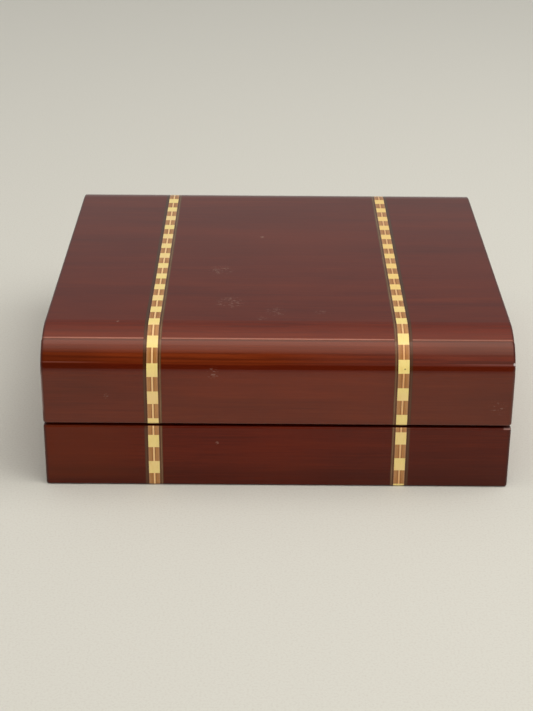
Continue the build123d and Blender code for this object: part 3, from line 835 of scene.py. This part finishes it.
shoulderGrainAndShading = (
    # painted light: a paler band and an ember band where the shoulder turns up to the light, the ember one
    # fading out to the right
    {"height": 0.0772, "reach": 0.0026, "soft": 0.7, "ragged": 0.002, "broken": 0.3,
     "strength": 0.35, "colour": colour(128, 52, 24)},
    {"height": 0.0722, "reach": 0.0040, "soft": 0.4, "ragged": 0.003, "broken": 0.35, "until": (-0.05, 0.1),
     "strength": 0.85, "colour": colour(117, 45, 15)},
    {"height": 0.0795, "reach": 0.0005, "soft": 0.8, "ragged": 0.0016, "broken": 0.9,
     "strength": 0.35, "colour": colour(58, 9, 4)},
    {"height": 0.0763, "reach": 0.0005, "soft": 0.8, "ragged": 0.0024, "broken": 0.9,
     "strength": 0.4, "colour": colour(58, 9, 4)},
    {"height": 0.0742, "reach": 0.0007, "soft": 0.8, "ragged": 0.0020, "broken": 0.7, "until": (0.05, 0.085),
     "strength": 0.6, "colour": colour(62, 8, 2)},
    {"height": 0.0720, "reach": 0.0009, "soft": 0.8, "ragged": 0.0024, "broken": 0.5, "until": (0.06, 0.11),
     "strength": 0.6, "colour": colour(60, 8, 2)},
    {"height": 0.0699, "reach": 0.0006, "soft": 0.8, "ragged": 0.0018, "broken": 0.8,
     "strength": 0.5, "colour": colour(60, 8, 2)},
    # painted shade: the dark band low on the shoulder
    {"height": 0.0673, "reach": 0.0021, "soft": 0.4, "ragged": 0.0008, "broken": 0.15,
     "strength": 0.85, "colour": colour(78, 12, 2)},
)
lidFrontMarks = (
    # painted shadow in the groove just in front of the joint
    {"deep": (-0.1096, -0.1089, 0.0001), "high": (0.07, 0.09, 0.001),
     "strength": 0.75, "colour": colour(58, 16, 8)},
    {"high": (0.0750, 0.083, 0.001), "uneven": 1.0,
     "strength": 0.22, "colour": colour(58, 10, 4)},
    {"high": (0.0350, 0.047, 0.008),
     "strength": 0.16, "colour": colour(56, 14, 5)},
    {"high": (0.0520, 0.063, 0.005), "across": (-0.03, 0.03, 0.04),
     "strength": 0.2, "colour": colour(124, 40, 14)},
    {"high": (0.0540, 0.075, 0.003), "across": (-0.13, -0.1, 0.02),
     "strength": 0.3, "colour": colour(50, 10, 4)},
    {"high": (0.0380, 0.066, 0.003), "across": (0.07, 0.13, 0.03),
     "strength": 0.16, "colour": colour(56, 22, 16)},
    {"high": (0.0735, 0.083, 0.001), "across": (0.1, 0.13, 0.04), "uneven": 0.4,
     "strength": 0.6, "colour": colour(58, 10, 4)},
    {"high": (0.0702, 0.0712, 0.0005), "across": (0.095, 0.13, 0.02),
     "strength": 0.6, "colour": colour(56, 9, 4)},
    # painted highlight: a fine pale line low on the shoulder near both ends
    {"high": (0.0695, 0.0699, 0.0001), "ends": (0.08, 0.116),
     "strength": 0.32, "colour": colour(158, 100, 90)},
    scuff(-0.0327, -0.1188, 0.0649, size=0.0040, grit=0.54, strength=0.16),
    scuff(-0.0871, -0.119, 0.0516, size=0.0016, grit=0.5, strength=0.25),
    scuff(0.1117, -0.119, 0.0463, size=0.006, grit=0.6, strength=0.13),
    # painted shade on the lid's lower edge, over the gap to the base
    {"high": (0.03, 0.0364, 0.0002), "deep": (-0.1184, -0.1174, 0.0003),
     "strength": 0.95, "colour": colour(16, 3, 2)},
    paintedArrisShade,
    # painted highlight: a glint at the right end of the shoulder
    {"spot": (0.1194, -0.117, 0.0698), "size": 0.0010,
     "strength": 0.7, "colour": colour(226, 216, 214)},
    # painted highlight along the rounded corner at the lid's left end
    {"across": (-0.121, -0.1192, 0.0002), "high": (0.045, 0.062, 0.004),
     "strength": 0.5, "colour": colour(150, 132, 128)},
)
baseFrontMarks = (
    # painted shade: darker towards the foot, by the floor
    {"high": (-0.01, 0.002, 0.024),
     "strength": 0.4, "colour": colour(40, 6, 2)},
    {"across": (-0.13, -0.1, 0.06), "high": (0.006, 0.04, 0.006),
     "strength": 0.35, "colour": colour(104, 42, 10)},
    {"across": (0.08, 0.13, 0.1), "high": (-0.01, 0.04, 0.004),
     "strength": 0.35, "colour": colour(58, 26, 22)},
    scuff(-0.0309, -0.119, 0.025, size=0.0010, grit=0.42, strength=0.4),
    paintedArrisShade,
    # painted highlight on the base rim's rounded edge near the right end
    {"across": (0.1165, 0.12, 0.001), "deep": (-0.12, -0.1182, 0.0003), "high": (0.0338, 0.0346, 0.0002),
     "strength": 0.5, "colour": colour(190, 150, 140)},
)

# Each board: which way its grain runs, its own piece of the pattern, its tone, its layers and its marks
boards = {
    "lid_top_panel": {
        "shift": (0.31, 0.02, 0.0), "tone": (0.88, 0.85, 0.8),
        "layers": topLayers, "marks": topMarks,
    },
    "lid_front_rail": {
        "shift": (0.0, 0.13, 0.05), "tone": (1.0, 0.92, 0.85),
        "layers": shoulderGrainAndShading, "marks": lidFrontMarks,
    },
    "lid_back_rail": {"shift": (0.7, 0.4, 0.02), "marks": (paintedArrisShade,)},
    "base_front_rail": {
        "shift": (0.45, 0.3, 0.11), "tone": (1.02, 0.74, 0.42),
        "lustre": 0.35, "coat": 0.55, "marks": baseFrontMarks,
    },
    "base_back_rail": {"shift": (0.9, 0.1, 0.3), "tone": (1.0, 0.7, 0.4), "marks": (paintedArrisShade,)},
    "lid_left_side": {"along": "Y", "shift": (0.2, 0.5, 0.1)},
    "lid_right_side": {"along": "Y", "shift": (0.5, 0.8, 0.2)},
    "base_left_side": {"along": "Y", "shift": (0.1, 1.2, 0.4), "tone": (1.0, 0.7, 0.4)},
    "base_right_side": {"along": "Y", "shift": (0.8, 1.5, 0.3), "tone": (1.0, 0.7, 0.4)},
}
paintJobs = {name: lacqueredWood("wood_" + name, **job) for name, job in boards.items()}
paintJobs["bottom_panel"] = plainBoard()
paintJobs["underside_baize"] = napped("baize_green", "baize", sheen=0.25, depth=0.0002)

blockLow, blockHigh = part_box("lid_right_pale_blocks")
bandMiddle = (blockLow.x + blockHigh.x) / 2
slipLow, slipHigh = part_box("lid_right_brown_slips")
slipReach = (slipHigh.x - slipLow.x) / 2
inlaidPieces = {
    "pale_blocks": "pale",
    "brown_slips": "brown",
    "centre_slips": "centre",
    "dark_lines": "dark",
    "grey_lines": "grey",
}
inlayWoods = {ending: inlaidWood(kind, bandMiddle, slipReach) for ending, kind in inlaidPieces.items()}
velvet = napped("velvet_green", "velvet", sheen=0.5, depth=0.00025)
metal = oldBrass()
for name in nodes:
    for ending, material in inlayWoods.items():
        if name.endswith(ending):
            paintJobs[name] = material
    if "lining" in name or "divider" in name:
        paintJobs[name] = velvet
    if "hinge" in name or "screws" in name:
        paintJobs[name] = metal
for name, material in paintJobs.items():
    nodes[name].data.materials.clear()
    nodes[name].data.materials.append(material)
print("painted", len(paintJobs), "of", len(nodes), "pieces; not yet:", sorted(set(nodes) - set(paintJobs)))

padding = buildPad()
padding.data.materials.append(satin("satin_green"))
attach(padding, "lid")
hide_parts("lid_pad")
print("lid padding laid")
